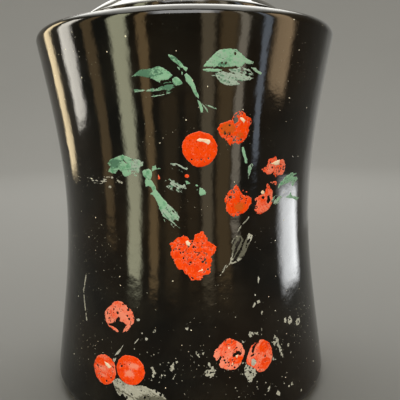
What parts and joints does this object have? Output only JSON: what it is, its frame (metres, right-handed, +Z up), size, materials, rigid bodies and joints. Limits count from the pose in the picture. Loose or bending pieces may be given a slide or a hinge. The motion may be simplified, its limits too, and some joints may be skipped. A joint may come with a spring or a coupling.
{
  "type": "biscuit jar",
  "caption": "Waisted round biscuit jar in black glazed earthenware with worn painted cherries and leaves, and a domed lift-off lid with a button knob.",
  "frame": {"origin": "on the jar's axis, in the plane that the foot ring stands on", "axes": "+Z up along the jar's axis, -Y towards the painted front"},
  "size_m": [0.1742, 0.1742, 0.266],
  "materials": {
    "jar_glaze": "glossy",
    "lid_glaze": "glossy",
    "cherry_paint": "satin",
    "leaf_paint": "satin"
  },
  "bodies": {
    "jar": {"jar": "jar_glaze"},
    "lid": {"lid": "lid_glaze"}
  },
  "joints": [
    {"name": "lid_lift", "type": "slide", "parent": "jar", "child": "lid", "axis": [0, 0, 1], "range_m": [0, 0.12]}
  ]
}
